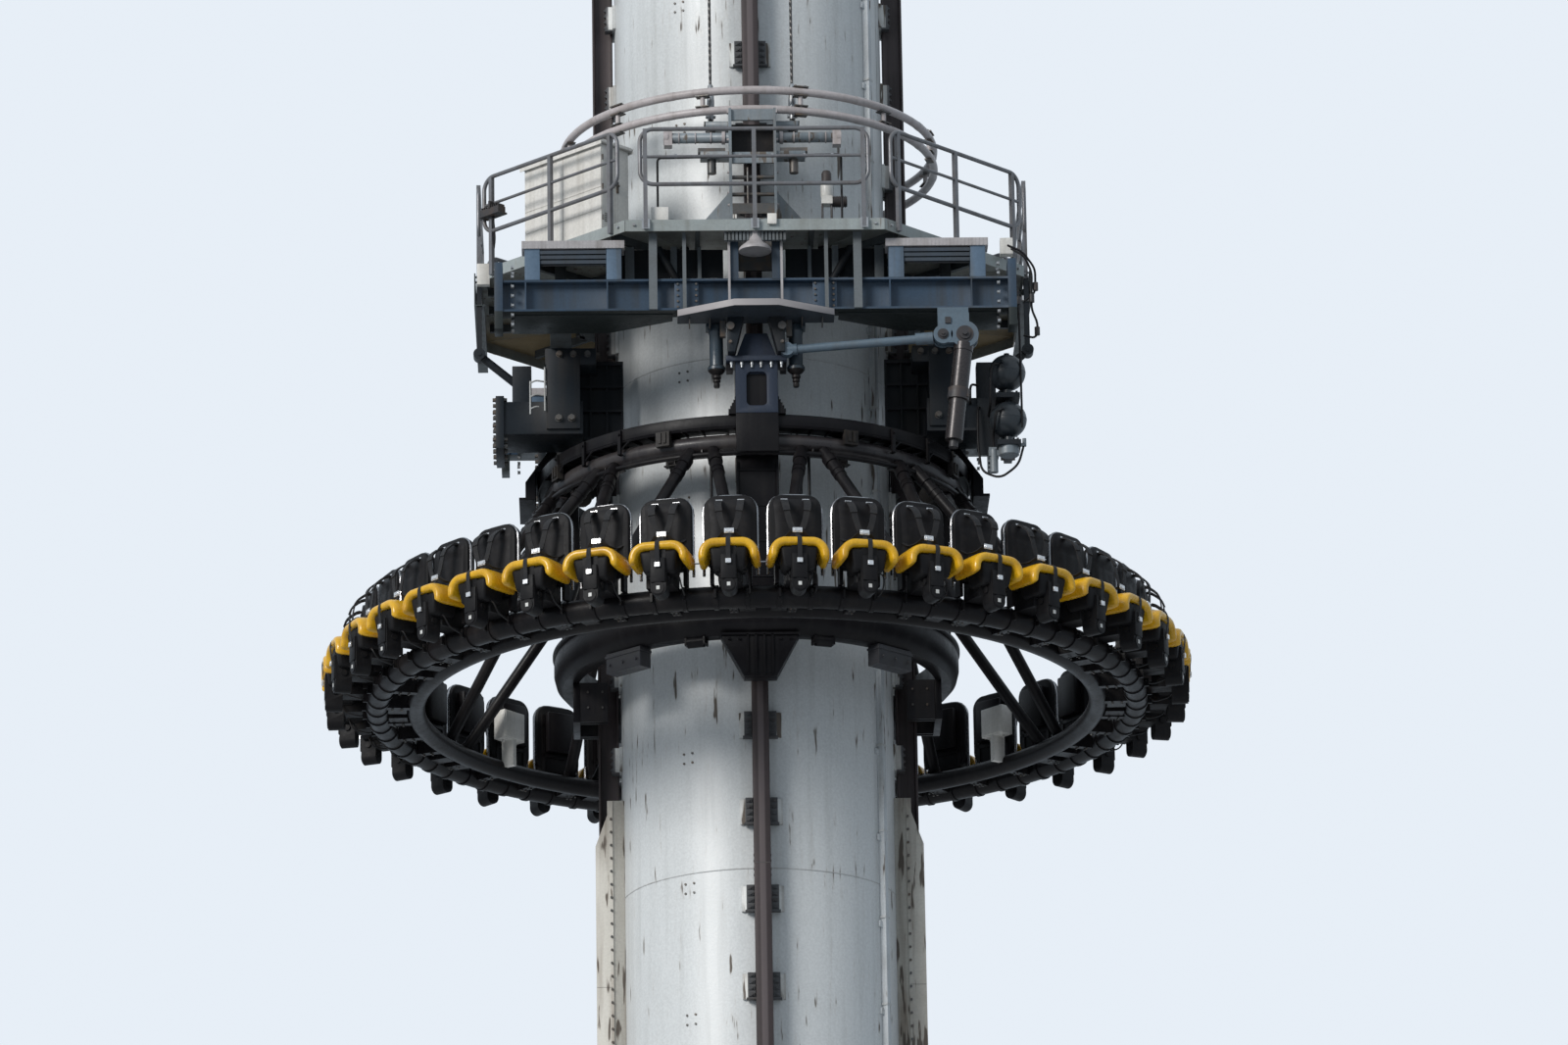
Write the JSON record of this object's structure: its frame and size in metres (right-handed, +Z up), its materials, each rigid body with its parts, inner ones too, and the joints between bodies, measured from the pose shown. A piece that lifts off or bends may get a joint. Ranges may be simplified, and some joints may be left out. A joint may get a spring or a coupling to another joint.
{
  "type": "drop tower ride with a turning ring of seats",
  "caption": "Steel drop tower ride: round shaft with guide rails, railed catch car above a gondola carriage that carries a turning ring of seats.",
  "frame": {"origin": "centre of the base flange's lower face, at ground level", "axes": "+Z up along the shaft, -Y towards the front rail and the cabinet side, +X to the right of someone who faces the front"},
  "size_m": [9.5808, 9.5808, 36.02],
  "materials": {
    "shaft_paint": "satin",
    "rail_paint": "satin",
    "console_paint": "satin",
    "fin_metal": "satin",
    "grey_paint": "satin",
    "blue_grey_paint": "satin",
    "deck_paint": "satin",
    "galvanised": "satin",
    "cabinet_paint": "satin",
    "dark_slate_paint": "satin",
    "dark_steel": "satin",
    "rope_steel": "satin",
    "black_paint": "satin",
    "seat_plastic": "gloss",
    "saddle_plastic": "gloss",
    "strap_fabric": "matt"
  },
  "bodies": {
    "tower": {"base_flange": "grey_paint", "shaft_1": "shaft_paint", "shaft_2": "shaft_paint", "shaft_3": "shaft_paint", "shaft_4": "shaft_paint", "shaft_5": "shaft_paint", "shaft_6": "shaft_paint", "head_frame": "grey_paint", "rails": "rail_paint", "rail_consoles": "console_paint", "brake_fins": "fin_metal", "cable_duct": "shaft_paint"},
    "catch_car": {"catch_deck": "deck_paint", "railing_front": "grey_paint", "railing_back": "grey_paint", "railing_left": "grey_paint", "railing_right": "grey_paint", "cabinet": "cabinet_paint", "tube_ring": "galvanised", "main_beams": "blue_grey_paint", "side_beams": "blue_grey_paint", "lower_frame": "dark_slate_paint", "guide_towers": "grey_paint", "catch_rollers": "dark_steel", "portals": "blue_grey_paint", "visors": "dark_slate_paint", "hooks": "dark_slate_paint", "buffers": "dark_slate_paint", "release_linkage": "blue_grey_paint", "accumulators": "dark_slate_paint", "side_skirts": "dark_slate_paint", "lift_ropes": "rope_steel"},
    "carriage": {"column_front": "black_paint", "column_back": "black_paint", "column_left": "black_paint", "column_right": "black_paint", "column_heads": "dark_slate_paint", "column_aprons": "black_paint", "brake_magnets": "dark_steel", "ring_beam": "black_paint", "wings": "black_paint", "lower_ring": "black_paint", "guide_rollers": "dark_steel", "bogies": "dark_steel"},
    "seat_ring": {"track_tube": "black_paint", "ring_tubes": "black_paint", "ring_clamps": "black_paint", "struts": "black_paint", "seat_shells": "seat_plastic", "seat_saddles": "saddle_plastic", "seat_posts": "black_paint", "harnesses": "strap_fabric", "junction_boxes": "galvanised"}
  },
  "joints": [
    {"name": "gondola_lift", "type": "slide", "parent": "tower", "child": "carriage", "axis": [0, 0, 1], "range_m": [-17.5, 8.2]},
    {"name": "catch_lift", "type": "slide", "parent": "tower", "child": "catch_car", "axis": [0, 0, 1], "range_m": [-17.5, 8.2], "deforming": ["lift_ropes"]},
    {"name": "ring_spin", "type": "hinge", "parent": "carriage", "child": "seat_ring", "pos_m": [0, 0, 19.63], "axis": [0, 0, 1], "continuous": true}
  ],
  "couplings": [
    {"joint": "catch_lift", "follows": "gondola_lift", "ratio": 1}
  ]
}
